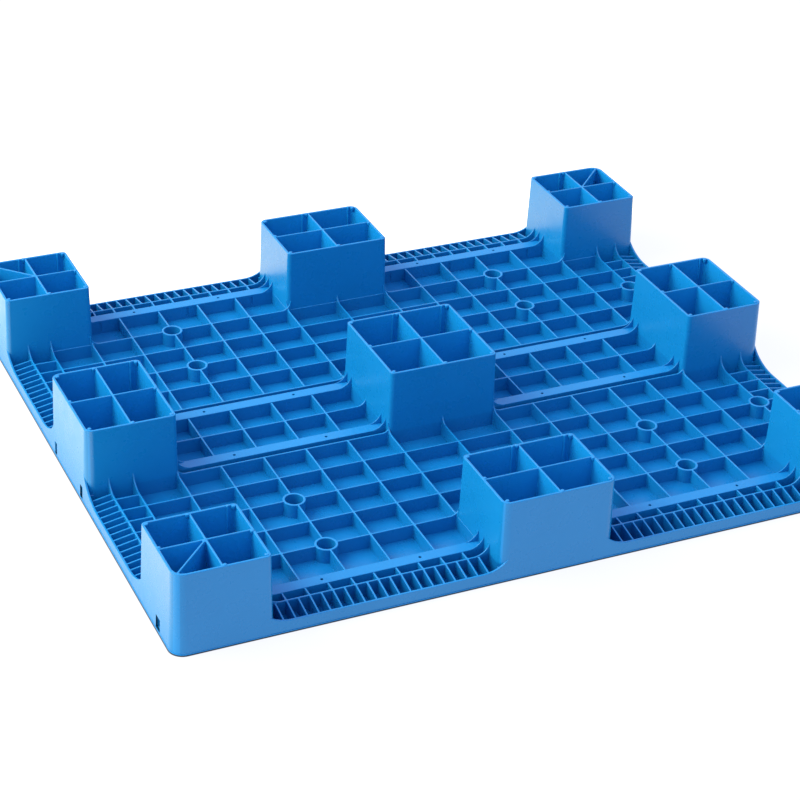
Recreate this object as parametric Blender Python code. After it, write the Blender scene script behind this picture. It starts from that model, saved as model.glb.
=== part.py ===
"""Nine-foot plastic pallet, 1200 x 1000 x 135 mm, lying on its load deck with its nine feet up.

The origin is the centre of the load face. X runs along the long side and Y along the short side. The
load deck rests at z = 0, the ribs stand on it, and the feet rise to HEIGHT. The pallet is one moulding
that is split here where its sub-parts meet, with GAP between them, and four steel tubes in its channels.
"""

import math

import bmesh
import bpy

# Overall size, in metres
LENGTH = 1.200
WIDTH = 1.000
HEIGHT = 0.135
CORNER_RADIUS = 0.015

# Sheet, ribs and skirt
GAP = 0.0003
DECK_THICKNESS = 0.003
RIB_BASE = DECK_THICKNESS + GAP
RIB_TOP = 0.0265
RIB_THICKNESS = 0.0026
BORDER = 0.0015
SKIRT_TOP = 0.0205
SKIRT_THICKNESS = 0.0035

# Rib grid: the first line beside the centre foot, then an even pitch
FIRST_LINE_X = 0.0940
PITCH_X = 0.0715
LINES_X = 7
FIRST_LINE_Y = 0.0915
PITCH_Y = 0.0643
LINES_Y = 5

# Tube channels, along X
CHANNEL_WIDTH = 0.0206
CHANNEL_TOP = 0.0275
OUTER_CHANNEL_Y = 0.4320
INNER_CHANNEL_Y = 0.0705
CHANNEL_LENGTH = 1.1972
BORE_WIDTH = 0.0166
BORE_LOW = 0.0048
BORE_HIGH = 0.0250
VENT_DIAMETER = 0.0050
VENT_PLACES_X = (0.194, 0.350)

# Steel reinforcement tubes
TUBE_SIDE = 0.0160
TUBE_WALL = 0.0015
TUBE_LENGTH = 1.180

# Feet: the rim is the outline at the sole, and the walls lean out by the draft down to the deck
FOOT_LENGTH = 0.1440
MIDDLE_HALF_X = 0.0930
MIDDLE_HALF_Y = 0.0925
OUTER_DRAFT = 0.0050
INNER_DRAFT = 0.0025
FOOT_WALL = 0.0035
WEB_THICKNESS = 0.0028
FOOT_CORNER_RADIUS = 0.0075
POCKET_CORNER = 0.0030

# Edge frames: rungs beside the skirt, a rail, then a strip of longer cells
FRONT_RAIL_DEPTH = 0.0402
SIDE_RAIL_DEPTH = 0.0380
FRONT_FILLET = 0.028
SIDE_FILLET = 0.042
WALL_OVERLAP = 0.0010

# Round bosses on rib crossings
BOSS_RADIUS = 0.0180
BOSS_BORE = 0.0140
BOSS_STEP = 0.0002
ARC_STEPS = 6
ROUND_STEPS = 16

HALF_X = LENGTH / 2
HALF_Y = WIDTH / 2
GRID_X = [FIRST_LINE_X + PITCH_X * i for i in range(LINES_X)]
GRID_Y = [FIRST_LINE_Y + PITCH_Y * i for i in range(LINES_Y)]
GRID_END_X = GRID_X[-1]
FIELD_END_Y = OUTER_CHANNEL_Y - CHANNEL_WIDTH / 2 - GAP


def linear(red, green, blue):
    """An sRGB colour of 0 to 255 as the linear values that a shader takes."""
    return [((c / 255 + 0.055) / 1.055) ** 2.4 for c in (red, green, blue)] + [1.0]


def clear_scene():
    for obj in list(bpy.data.objects):
        bpy.data.objects.remove(obj, do_unlink=True)


def make_material(name, colour, roughness, metallic):
    material = bpy.data.materials.new(name)
    material.use_nodes = True
    shader = material.node_tree.nodes["Principled BSDF"]
    shader.inputs["Base Color"].default_value = colour
    shader.inputs["Roughness"].default_value = roughness
    shader.inputs["Metallic"].default_value = metallic
    return material


def make_collection(name):
    collection = bpy.data.collections.new(name)
    bpy.context.scene.collection.children.link(collection)
    return collection


clear_scene()
PALLET = make_collection("plastic_pallet")
CUTTERS = make_collection("cutters")
CUTTERS.hide_render = True
BLUE = linear(18, 104, 190)
STEEL = linear(168, 170, 172)


def add_part(name, mesh, colour=None, roughness=0.42, metallic=0.0):
    """A node of the pallet, with a material of its own."""
    obj = bpy.data.objects.new(name, mesh)
    mesh.materials.clear()
    mesh.materials.append(make_material(name, colour or BLUE, roughness, metallic))
    PALLET.objects.link(obj)
    return obj


def add_cutter(name, mesh):
    obj = bpy.data.objects.new(name, mesh)
    obj.hide_render = True
    obj.display_type = "WIRE"
    CUTTERS.objects.link(obj)
    return obj


def combine(part, operation, other):
    """A Boolean. The exact solver leaves open edges where the flush walls here meet, and manifold doesn't."""
    modifier = part.modifiers.new(operation.lower() + "_" + other.name, "BOOLEAN")
    modifier.operation = operation
    modifier.object = other
    modifier.solver = "MANIFOLD"


def plan_mesh(name, outline, holes, low, high):
    """A closed mesh between two heights, from a plan outline and the outlines of the holes in it."""
    curve = bpy.data.curves.new(name, "CURVE")
    curve.dimensions = "2D"
    curve.fill_mode = "BOTH"
    curve.extrude = (high - low) / 2
    for points in [outline, *holes]:
        spline = curve.splines.new("POLY")
        spline.points.add(len(points) - 1)
        for point, (x, y) in zip(spline.points, points):
            point.co = (x, y, 0, 1)
        spline.use_cyclic_u = True
    guide = bpy.data.objects.new(name + "_guide", curve)
    bpy.context.scene.collection.objects.link(guide)
    bpy.context.view_layer.update()
    evaluated = guide.evaluated_get(bpy.context.evaluated_depsgraph_get())
    mesh = bpy.data.meshes.new_from_object(evaluated)
    bpy.data.objects.remove(guide, do_unlink=True)
    weld(mesh)
    for vertex in mesh.vertices:
        vertex.co.z += (low + high) / 2
    mesh.name = name
    return mesh


def weld(mesh):
    """Joins a filled curve's loose caps to its sides, and turns all faces outwards."""
    bm = bmesh.new()
    bm.from_mesh(mesh)
    bmesh.ops.remove_doubles(bm, verts=bm.verts, dist=1e-6)
    bmesh.ops.recalc_face_normals(bm, faces=bm.faces)
    bm.to_mesh(mesh)
    bm.free()


def box_mesh(name, low, high):
    mesh = bpy.data.meshes.new(name)
    bm = bmesh.new()
    bmesh.ops.create_cube(bm, size=1.0)
    for vertex in bm.verts:
        for axis in range(3):
            centre = (low[axis] + high[axis]) / 2
            vertex.co[axis] = centre + vertex.co[axis] * (high[axis] - low[axis])
    bm.to_mesh(mesh)
    bm.free()
    return mesh


def disc_mesh(name, centre, radius, low, high, steps=ROUND_STEPS):
    mesh = bpy.data.meshes.new(name)
    bm = bmesh.new()
    bmesh.ops.create_cone(
        bm, cap_ends=True, segments=steps, radius1=radius, radius2=radius, depth=high - low
    )
    for vertex in bm.verts:
        vertex.co.x += centre[0]
        vertex.co.y += centre[1]
        vertex.co.z += (low + high) / 2
    bm.to_mesh(mesh)
    bm.free()
    return mesh


def rectangle(x0, y0, x1, y1):
    return [(x0, y0), (x1, y0), (x1, y1), (x0, y1)]


def rounded(x0, y0, x1, y1, radii, steps=ARC_STEPS):
    """A rectangle with its own radius at each corner, anticlockwise from the low one."""
    corners = [(x0, y0, 1, 1), (x1, y0, -1, 1), (x1, y1, -1, -1), (x0, y1, 1, -1)]
    points = []
    for index, (x, y, inward_x, inward_y) in enumerate(corners):
        radius = radii[index]
        for step in range(steps + 1):
            angle = math.pi + math.pi / 2 * (index + step / steps)
            points.append(
                (
                    x + radius * (inward_x + math.cos(angle)),
                    y + radius * (inward_y + math.sin(angle)),
                )
            )
    return points


class Foot:
    """The plan of one foot: its rim at the sole, and its wider base at the deck."""

    def __init__(self, name, column, row):
        self.name = name
        self.column = column
        self.row = row
        self.rim_x, self.base_x = self.span(column, HALF_X, MIDDLE_HALF_X)
        self.rim_y, self.base_y = self.span(row, HALF_Y, MIDDLE_HALF_Y)

    @staticmethod
    def span(side, half, middle_half):
        """The rim's and the base's lowest and highest coordinate along one axis."""
        if side == 0:
            base = middle_half + INNER_DRAFT
            return (-middle_half, middle_half), (-base, base)
        outer = half - OUTER_DRAFT
        inner = outer - FOOT_LENGTH
        rim = sorted((side * outer, side * inner))
        base = sorted((side * half, side * (inner - INNER_DRAFT)))
        return rim, base

    def radii(self):
        """Corner radii, larger where the foot is the pallet's own corner."""
        corners = [(-1, -1), (1, -1), (1, 1), (-1, 1)]
        outer = (self.column, self.row)
        return [CORNER_RADIUS if corner == outer else FOOT_CORNER_RADIUS for corner in corners]

    def channels(self):
        """The Y of each tube channel that runs through the foot."""
        if self.row:
            return [self.row * OUTER_CHANNEL_Y]
        return [-INNER_CHANNEL_Y, INNER_CHANNEL_Y]


COLUMN_NAMES = {-1: "left", 0: "middle", 1: "right"}
ROW_NAMES = {-1: "front", 0: "centre", 1: "back"}
FEET = [
    Foot(f"foot_{ROW_NAMES[row]}_{COLUMN_NAMES[column]}", column, row)
    for row in (-1, 0, 1)
    for column in (-1, 0, 1)
]


def pockets(foot):
    """The outlines of the open compartments between a foot's walls and its webs."""
    half_web = WEB_THICKNESS / 2
    x0, x1 = foot.rim_x[0] + FOOT_WALL, foot.rim_x[1] - FOOT_WALL
    y0, y1 = foot.rim_y[0] + FOOT_WALL, foot.rim_y[1] - FOOT_WALL
    middle_x, middle_y = (x0 + x1) / 2, (y0 + y1) / 2
    outlines = []
    for side_x, edge_x in ((-1, x0), (1, x1)):
        for side_y, edge_y in ((-1, y0), (1, y1)):
            near_x = middle_x + side_x * half_web
            near_y = middle_y + side_y * half_web
            if (side_x, side_y) == (foot.column, foot.row):
                outlines += split_pocket(near_x, near_y, edge_x, edge_y)
            else:
                outlines.append(cut_corner_box(near_x, near_y, edge_x, edge_y))
    return outlines


def cut_corner_box(near_x, near_y, edge_x, edge_y):
    """A compartment, with its corner at the foot's own corner cut off."""
    cut_x = math.copysign(POCKET_CORNER, edge_x - near_x)
    cut_y = math.copysign(POCKET_CORNER, edge_y - near_y)
    return [
        (near_x, near_y),
        (edge_x, near_y),
        (edge_x, edge_y - cut_y),
        (edge_x - cut_x, edge_y),
        (near_x, edge_y),
    ]


def split_pocket(near_x, near_y, edge_x, edge_y):
    """The two triangles that a diagonal web leaves of the compartment in the pallet's own corner."""
    sign_x = math.copysign(1, edge_x - near_x)
    sign_y = math.copysign(1, edge_y - near_y)
    long_x = abs(edge_x - near_x)
    long_y = abs(edge_y - near_y)
    offset = WEB_THICKNESS / math.sqrt(2)
    bend = CORNER_RADIUS - FOOT_WALL
    inner = bend * (1 - math.sqrt(0.5)) - offset / 2

    def inward(x, y):
        return edge_x - sign_x * x, edge_y - sign_y * y

    beside_x = [
        inward(long_x - offset, long_y),
        inward(0, long_y),
        inward(0, bend),
        inward(inner, inner + offset),
    ]
    beside_y = [
        inward(long_x, long_y - offset),
        inward(inner + offset, inner),
        inward(bend, 0),
        inward(long_x, 0),
    ]
    return [beside_x, beside_y]


def lean_out(mesh, foot):
    """Moves the outer outline at the deck from the rim's size to the base's."""
    margin = FOOT_WALL - GAP
    inner_x = (foot.rim_x[0] + margin, foot.rim_x[1] - margin)
    inner_y = (foot.rim_y[0] + margin, foot.rim_y[1] - margin)
    for vertex in mesh.vertices:
        x, y, z = vertex.co
        inside = inner_x[0] < x < inner_x[1] and inner_y[0] < y < inner_y[1]
        if z > HEIGHT / 2 or inside:
            continue
        vertex.co.x = remap(x, foot.rim_x, foot.base_x)
        vertex.co.y = remap(y, foot.rim_y, foot.base_y)


def remap(value, old, new):
    share = (value - old[0]) / (old[1] - old[0])
    return new[0] + share * (new[1] - new[0])


def make_foot(foot):
    outline = rounded(foot.rim_x[0], foot.rim_y[0], foot.rim_x[1], foot.rim_y[1], foot.radii())
    mesh = plan_mesh(foot.name, outline, pockets(foot), RIB_BASE, HEIGHT)
    lean_out(mesh, foot)
    part = add_part(foot.name, mesh)
    for number, y in enumerate(foot.channels()):
        half = CHANNEL_WIDTH / 2 + GAP
        low = (foot.base_x[0] - FOOT_WALL, y - half, 0)
        high = (foot.base_x[1] + FOOT_WALL, y + half, CHANNEL_TOP + GAP)
        cutter = add_cutter(f"{foot.name}_channel_{number}", box_mesh("channel_way", low, high))
        combine(part, "DIFFERENCE", cutter)


def make_deck():
    outline = rounded(-HALF_X, -HALF_Y, HALF_X, HALF_Y, [CORNER_RADIUS] * 4)
    add_part("load_deck", plan_mesh("load_deck", outline, [], 0, DECK_THICKNESS), roughness=0.5)


def make_channel(name, y):
    """A closed channel for one steel tube, with vent holes in its top."""
    half_length = CHANNEL_LENGTH / 2
    half_width = CHANNEL_WIDTH / 2
    body = box_mesh(
        name, (-half_length, y - half_width, RIB_BASE), (half_length, y + half_width, CHANNEL_TOP)
    )
    part = add_part(name, body)
    half_bore = BORE_WIDTH / 2
    bore = box_mesh("bore", (-HALF_X, y - half_bore, BORE_LOW), (HALF_X, y + half_bore, BORE_HIGH))
    combine(part, "DIFFERENCE", add_cutter(name + "_bore", bore))
    for place in VENT_PLACES_X:
        for side in (-1, 1):
            centre = (side * place, y)
            low = (BORE_LOW + BORE_HIGH) / 2
            vent = disc_mesh("vent", centre, VENT_DIAMETER / 2, low, HEIGHT / 2, steps=8)
            label = f"{name}_vent_{COLUMN_NAMES[side]}_{round(place * 1000)}"
            combine(part, "DIFFERENCE", add_cutter(label, vent))


def make_tube(name, y):
    """A square steel tube that lies loose in its channel, a little short of both ends."""
    half = TUBE_SIDE / 2
    low = BORE_LOW + GAP
    half_length = TUBE_LENGTH / 2
    body = box_mesh(name, (-half_length, y - half, low), (half_length, y + half, low + TUBE_SIDE))
    part = add_part(name, body, colour=STEEL, roughness=0.35, metallic=1.0)
    inner = half - TUBE_WALL
    bore = box_mesh(
        "tube_bore",
        (-HALF_X, y - inner, low + TUBE_WALL),
        (HALF_X, y + inner, low + TUBE_SIDE - TUBE_WALL),
    )
    combine(part, "DIFFERENCE", add_cutter(name + "_bore", bore))


def trimmed(cell, blocks):
    """The cell without what the blocks cover, or None where little is left. Cells and blocks are boxes."""
    x0, y0, x1, y1 = cell
    for bx0, by0, bx1, by1 in blocks:
        if bx0 >= x1 or bx1 <= x0 or by0 >= y1 or by1 <= y0:
            continue
        choices = [(x0, y0, bx0, y1), (bx1, y0, x1, y1), (x0, y0, x1, by0), (x0, by1, x1, y1)]
        x0, y0, x1, y1 = max(choices, key=area)
    return (x0, y0, x1, y1) if min(x1 - x0, y1 - y0) > 4 * RIB_THICKNESS else None


def area(box):
    return max(box[2] - box[0], 0) * max(box[3] - box[1], 0)


def grid_cells(lines_x, lines_y, blocks):
    """The holes between two sets of ribs, clear of the blocks."""
    half = RIB_THICKNESS / 2
    cells = []
    for x0, x1 in zip(lines_x, lines_x[1:]):
        for y0, y1 in zip(lines_y, lines_y[1:]):
            cells.append(trimmed((x0 + half, y0 + half, x1 - half, y1 - half), blocks))
    return [rectangle(*cell) for cell in cells if cell]


def add_boss(part, x, y):
    """A round hollow boss on a rib crossing."""
    label = f"{part.name}_boss_{round(x * 1000)}_{round(abs(y) * 1000)}"
    low = RIB_BASE + BOSS_STEP
    body = disc_mesh("boss", (x, y), BOSS_RADIUS, low, RIB_TOP + BOSS_STEP)
    combine(part, "UNION", add_cutter(label, body))
    bore = disc_mesh("boss_bore", (x, y), BOSS_BORE, -RIB_TOP, 2 * RIB_TOP)
    combine(part, "DIFFERENCE", add_cutter(label + "_bore", bore))


BOSS_PLACES = [
    (side * GRID_X[column], GRID_Y[row]) for side in (-1, 1) for column, row in ((3, 2), (3, 4), (6, 2))
]


def make_rib_field(name, side):
    """The rib grid on one side of the middle row of feet, from the thin rib there to the outer channel."""
    half = RIB_THICKNESS / 2
    end_x = GRID_END_X
    near_y = GRID_Y[0] - half
    notch_y = HALF_Y - FOOT_LENGTH - OUTER_DRAFT - INNER_DRAFT - GAP
    corner_x = HALF_X - FOOT_LENGTH - OUTER_DRAFT - INNER_DRAFT - GAP
    middle_x = MIDDLE_HALF_X + INNER_DRAFT + GAP
    centre_y = MIDDLE_HALF_Y + INNER_DRAFT + GAP
    right = [
        (middle_x, centre_y),
        (middle_x, near_y),
        (corner_x, near_y),
        (corner_x, centre_y),
        (end_x, centre_y),
        (end_x, notch_y),
        (corner_x, notch_y),
        (corner_x, FIELD_END_Y),
        (middle_x, FIELD_END_Y),
        (middle_x, notch_y),
    ]
    left = [(-x, y) for x, y in reversed(right)]
    outline = [(x, side * y) for x, y in right + left]
    far = FIELD_END_Y
    blocks = [
        (-middle_x - BORDER, 0, middle_x + BORDER, centre_y + BORDER),
        (-middle_x - BORDER, notch_y - BORDER, middle_x + BORDER, far),
        (corner_x - BORDER, 0, HALF_X, centre_y + BORDER),
        (corner_x - BORDER, notch_y - BORDER, HALF_X, far),
        (-HALF_X, 0, BORDER - corner_x, centre_y + BORDER),
        (-HALF_X, notch_y - BORDER, BORDER - corner_x, far),
    ]
    last_x = end_x - BORDER + half
    lines_x = [-last_x] + [-x for x in reversed(GRID_X[:-1])] + [0] + GRID_X[:-1] + [last_x]
    lines_y = GRID_Y + [far - BORDER + half]
    cells = grid_cells(lines_x, lines_y, blocks)
    holes = [[(x, side * y) for x, y in cell] for cell in cells]
    part = add_part(name, plan_mesh(name, outline, holes, RIB_BASE, RIB_TOP))
    for x, y in BOSS_PLACES:
        add_boss(part, x, side * y)


def make_rib_strip(name, side):
    """The two rows of cells between the inner channels, from the centre foot to a side foot."""
    half = RIB_THICKNESS / 2
    near_x = MIDDLE_HALF_X + INNER_DRAFT + GAP
    far_x = HALF_X - FOOT_LENGTH - OUTER_DRAFT - INNER_DRAFT - GAP
    end_y = INNER_CHANNEL_Y - CHANNEL_WIDTH / 2 - GAP
    lines_x = [near_x + BORDER - half] + GRID_X[1:5] + [far_x - BORDER + half]
    last_y = end_y - BORDER + half
    lines_y = [-last_y, 0, last_y]
    holes = [[(side * x, y) for x, y in cell] for cell in grid_cells(lines_x, lines_y, [])]
    low_x, high_x = sorted((side * near_x, side * far_x))
    outline = rectangle(low_x, -end_y, high_x, end_y)
    add_part(name, plan_mesh(name, outline, holes, RIB_BASE, RIB_TOP))


class Edge:
    """The measures of the edge frames along one side, in a frame of (along, depth) from that side."""

    def __init__(self, axis, half, rail, end, first, pitch, count, start, stop, fillet):
        self.axis = axis
        self.half = half
        self.rail = rail
        self.end = end
        self.first = first
        self.pitch = pitch
        self.count = count
        self.start = start
        self.stop = stop
        self.fillet = fillet

    def place(self, along, depth, side, half_side):
        """A plan point, for the frame on one side of the pallet and one half of that side."""
        across = side * (self.half - depth)
        return (half_side * along, across) if self.axis == "X" else (across, half_side * along)


FRONT_EDGE = Edge(
    axis="X",
    half=HALF_Y,
    rail=FRONT_RAIL_DEPTH,
    end=HALF_Y - OUTER_CHANNEL_Y - CHANNEL_WIDTH / 2 - GAP,
    first=FIRST_LINE_X,
    pitch=PITCH_X / 4,
    count=20,
    start=MIDDLE_HALF_X + INNER_DRAFT + GAP,
    stop=HALF_X - FOOT_LENGTH - OUTER_DRAFT - INNER_DRAFT - GAP,
    fillet=FRONT_FILLET,
)
SIDE_EDGE = Edge(
    axis="Y",
    half=HALF_X,
    rail=SIDE_RAIL_DEPTH,
    end=HALF_X - GRID_END_X - GAP,
    first=FIRST_LINE_Y,
    pitch=PITCH_Y / 4,
    count=16,
    start=MIDDLE_HALF_Y + INNER_DRAFT + GAP,
    stop=HALF_Y - FOOT_LENGTH - OUTER_DRAFT - INNER_DRAFT - GAP,
    fillet=SIDE_FILLET,
)


def slope_height(edge, depth):
    """The rungs' tops rise from just under the skirt's top to the rail's."""
    low = SKIRT_TOP - GAP
    share = (depth - SKIRT_THICKNESS) / (edge.rail - SKIRT_THICKNESS - RIB_THICKNESS / 2)
    return low + (RIB_TOP - low) * min(max(share, 0), 1)


def make_ladder(name, edge, side, half_side):
    """The rungs, the rail and the strip of longer cells behind the skirt."""
    half = RIB_THICKNESS / 2
    near = edge.start + BORDER - half
    far = edge.stop - BORDER + half
    clear = 3 * half
    lines = [edge.first + edge.pitch * i for i in range(edge.count)]
    rungs = [near] + [line for line in lines if near + clear < line < far - clear] + [far]
    long_ribs = [near] + [line for line in lines[::2] if near + clear < line < far - clear] + [far]
    first_row = [SKIRT_THICKNESS - half, edge.rail]
    second_row = [edge.rail, edge.end - BORDER + half]
    cells = grid_cells(rungs, first_row, []) + grid_cells(long_ribs, second_row, [])
    outline = rectangle(edge.start, SKIRT_THICKNESS - WALL_OVERLAP, edge.stop, edge.end)

    def placed(points):
        return [edge.place(along, depth, side, half_side) for along, depth in points]

    mesh = plan_mesh(name, placed(outline), [placed(cell) for cell in cells], RIB_BASE, RIB_TOP)
    across = 1 if edge.axis == "X" else 0
    for vertex in mesh.vertices:
        if vertex.co.z > (RIB_BASE + RIB_TOP) / 2:
            vertex.co.z = slope_height(edge, edge.half - abs(vertex.co[across]))
    return mesh


def wall_profile(edge):
    """The skirt between two feet, seen from outside: a low wall that curves up at both ends."""
    top = SKIRT_TOP + edge.fillet
    points = [(edge.start, RIB_BASE), (edge.stop, RIB_BASE)]
    for step in range(ARC_STEPS + 1):
        angle = math.pi / 2 * step / ARC_STEPS
        along = edge.stop - edge.fillet * (1 - math.cos(angle))
        points.append((along, top - edge.fillet * math.sin(angle)))
    for step in reversed(range(ARC_STEPS + 1)):
        angle = math.pi / 2 * step / ARC_STEPS
        along = edge.start + edge.fillet * (1 - math.cos(angle))
        points.append((along, top - edge.fillet * math.sin(angle)))
    return points


def make_edge_frame(name, edge, side, half_side):
    part = add_part(name, make_ladder(name, edge, side, half_side))
    wall = plan_mesh(name + "_wall", wall_profile(edge), [], 0, SKIRT_THICKNESS)
    for vertex in wall.vertices:
        along, height, depth = vertex.co
        x, y = edge.place(along, depth, side, half_side)
        vertex.co = (x, y, height)
    weld(wall)
    combine(part, "UNION", add_cutter(name + "_skirt", wall))


def make_bites():
    """Takes the side bosses, which stand half in each side's edge frames, out of those frames."""
    for side in (-1, 1):
        for half_side in (-1, 1):
            frame = bpy.data.objects[f"edge_frame_{COLUMN_NAMES[side]}_{ROW_NAMES[half_side]}"]
            centre = (side * GRID_END_X, half_side * GRID_Y[2])
            bite = disc_mesh("bite", centre, BOSS_RADIUS + GAP, -RIB_TOP, 2 * RIB_TOP)
            combine(frame, "DIFFERENCE", add_cutter(frame.name + "_bite", bite))


make_deck()
for plan in FEET:
    make_foot(plan)
for row in (-1, 1):
    make_rib_field(f"rib_field_{ROW_NAMES[row]}", row)
    for number, place in (("outer", OUTER_CHANNEL_Y), ("inner", INNER_CHANNEL_Y)):
        make_channel(f"tube_channel_{ROW_NAMES[row]}_{number}", row * place)
        make_tube(f"steel_tube_{ROW_NAMES[row]}_{number}", row * place)
for column in (-1, 1):
    make_rib_strip(f"rib_strip_{COLUMN_NAMES[column]}", column)
for row in (-1, 1):
    for column in (-1, 1):
        front = f"edge_frame_{ROW_NAMES[row]}_{COLUMN_NAMES[column]}"
        make_edge_frame(front, FRONT_EDGE, row, column)
        flank = f"edge_frame_{COLUMN_NAMES[column]}_{ROW_NAMES[row]}"
        make_edge_frame(flank, SIDE_EDGE, column, row)
make_bites()
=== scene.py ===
import math

import bmesh
import bpy
from mathutils import Matrix, Vector


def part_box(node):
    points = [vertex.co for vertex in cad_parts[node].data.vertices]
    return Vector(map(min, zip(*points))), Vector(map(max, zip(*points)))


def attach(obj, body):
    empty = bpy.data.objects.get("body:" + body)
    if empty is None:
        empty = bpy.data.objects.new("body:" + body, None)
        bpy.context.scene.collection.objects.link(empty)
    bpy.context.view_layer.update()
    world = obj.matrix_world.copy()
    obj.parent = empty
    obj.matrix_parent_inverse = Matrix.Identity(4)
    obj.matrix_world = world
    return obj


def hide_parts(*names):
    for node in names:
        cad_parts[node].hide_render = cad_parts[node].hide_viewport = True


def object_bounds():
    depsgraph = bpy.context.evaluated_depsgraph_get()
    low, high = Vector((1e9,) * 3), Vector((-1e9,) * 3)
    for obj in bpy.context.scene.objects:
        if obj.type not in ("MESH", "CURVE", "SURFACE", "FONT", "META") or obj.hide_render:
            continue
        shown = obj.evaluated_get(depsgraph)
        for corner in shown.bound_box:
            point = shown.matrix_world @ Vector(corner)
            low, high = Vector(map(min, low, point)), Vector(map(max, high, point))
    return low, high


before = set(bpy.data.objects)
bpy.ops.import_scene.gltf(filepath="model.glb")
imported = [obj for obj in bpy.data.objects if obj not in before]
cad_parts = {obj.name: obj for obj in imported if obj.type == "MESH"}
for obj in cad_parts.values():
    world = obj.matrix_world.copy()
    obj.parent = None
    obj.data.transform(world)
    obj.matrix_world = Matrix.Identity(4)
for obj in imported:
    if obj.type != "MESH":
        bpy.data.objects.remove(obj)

CAD_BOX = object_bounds()

# The pallet lies on its load deck with its nine feet up. X runs along its long side, Y along its short
# side. Each piece of the moulding is a plan with holes, drawn at several heights, so that its walls
# have draft and its upper edges are round. Neighbours meet inside each other's walls.

# A distance too small to see, in metres as every size here
HAIR = 0.0002

# Sizes that the frame gives
LOW, HIGH = CAD_BOX
HALF_X = HIGH.x
HALF_Y = HIGH.y
HEIGHT = HIGH.z
DECK_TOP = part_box("load_deck")[1].z
RIB_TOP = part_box("rib_field_front")[1].z - HAIR
CENTRE_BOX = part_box("foot_centre_middle")
CORNER_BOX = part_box("foot_back_right")
OUTER_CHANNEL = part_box("tube_channel_back_outer")
INNER_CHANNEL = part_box("tube_channel_back_inner")
CHANNEL_TOP = OUTER_CHANNEL[1].z
MIDDLE_X = CENTRE_BOX[1].x
MIDDLE_Y = CENTRE_BOX[1].y
CORNER_X = CORNER_BOX[0].x
CORNER_Y = CORNER_BOX[0].y
OUTER_Y = (OUTER_CHANNEL[0].y + OUTER_CHANNEL[1].y) / 2
INNER_Y = (INNER_CHANNEL[0].y + INNER_CHANNEL[1].y) / 2
HALF_CHANNEL = (OUTER_CHANNEL[1].y - OUTER_CHANNEL[0].y) / 2

# Rib grid
FIRST_X = 0.0940
PITCH_X = 0.0715
FIRST_Y = 0.0915
PITCH_Y = 0.0643
GRID_X = [FIRST_X + PITCH_X * i for i in range(7)]
GRID_Y = [FIRST_Y + PITCH_Y * i for i in range(5)]
RIB = 0.0030
RIB_DRAFT = 0.0004
RIB_ROUND = 0.0010
CELL_ROUND = 0.0015
HIDDEN = 0.0016
WALL_DEEP = 0.0030
WALL_HIDDEN = 0.0012

# Deck, skirt and edge ladders
DECK_EDGE = 0.0026
EDGE_ROUND = 0.0008
LEDGE = 0.0007
SKIRT_TOP = 0.0205
SKIRT = 0.0035
FRONT_RAIL = 0.0402
SIDE_RAIL = 0.0380
FRONT_SWEEP = (0.026, 0.032)
SIDE_SWEEP = (0.050, 0.046)

# Feet
OUTER_DRAFT = 0.0050
INNER_DRAFT = 0.0025
WALL = 0.0040
WEB = 0.0032
POCKET_DRAFT = 0.0009
FOOT_CORNER = (0.0080, 0.0070)
SIDE_CORNER = (0.0180, 0.0130)
PALLET_CORNER = (0.0220, 0.0190)
POCKET_ROUND = 0.0016
RIM = HEIGHT - 0.0008
RIM_ROUND = 0.0012

# Channels and what is cut in them
BORE_HALF = 0.0083
BORE_LOW = 0.0048
BORE_HIGH = 0.0250
VENT = 0.0025
VENTS_X = (0.194, 0.350)
SLITS_X = (0.135, 0.255, 0.415)
SLIT_WIDTH = 0.0045
SLIT_LOW = 0.0085
SLIT_HIGH = 0.0235

# Steel tubes
TUBE_WALL = 0.0015
TUBE_ROUND = (0.0022, 0.0009)

# Round bosses, curved rib ends, gussets and ridges
BOSS = 0.0180
BOSS_BORE = 0.0140
BULGE = BOSS - HIDDEN
RIB_SWEEP = 0.016
RAIL_SWEEP = 0.025
POST = 0.0032
POST_LENGTH = 0.010
RIDGE = 0.0022
RIDGE_LENGTH = 0.060
RIDGE_PLACE = 0.011

# How finely curves are drawn
CAP_STEPS = 3
CORNER_STEPS = 6
ARC_STEPS = 14
SHARP = math.radians(50)

# Small overlaps and clearances
SUNK = 0.0004
CHANNEL_SUNK = 0.0003
ROOM = 0.0004
TOUCH = 0.00005
BEHIND = 0.00008

BLUE_SLOT = "blue_plastic"
STEEL_SLOT = "steel"
COLUMNS = {-1: "left", 0: "middle", 1: "right"}
ROWS = {-1: "front", 0: "centre", 1: "back"}
CORNERS = ((-1, -1), (1, -1), (1, 1), (-1, 1))


# ---------------------------------------------------------------- outlines

def clamped(share):
    return min(max(share, 0), 1)


def box_outline(x0, y0, x1, y1):
    return [(x0, y0), (x1, y0), (x1, y1), (x0, y1)]


def shifted(points, distance):
    """An anticlockwise outline moved outwards, with mitred corners."""
    moved = []
    count = len(points)
    for index, (x, y) in enumerate(points):
        before = points[index - 1]
        after = points[(index + 1) % count]
        first = Vector((x - before[0], y - before[1])).normalized()
        second = Vector((after[0] - x, after[1] - y)).normalized()
        normal_a = Vector((first.y, -first.x))
        normal_b = Vector((second.y, -second.x))
        half = (normal_a + normal_b).normalized()
        reach = distance / max(half.dot(normal_a), 0.3)
        moved.append((x + half.x * reach, y + half.y * reach))
    return moved


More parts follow.
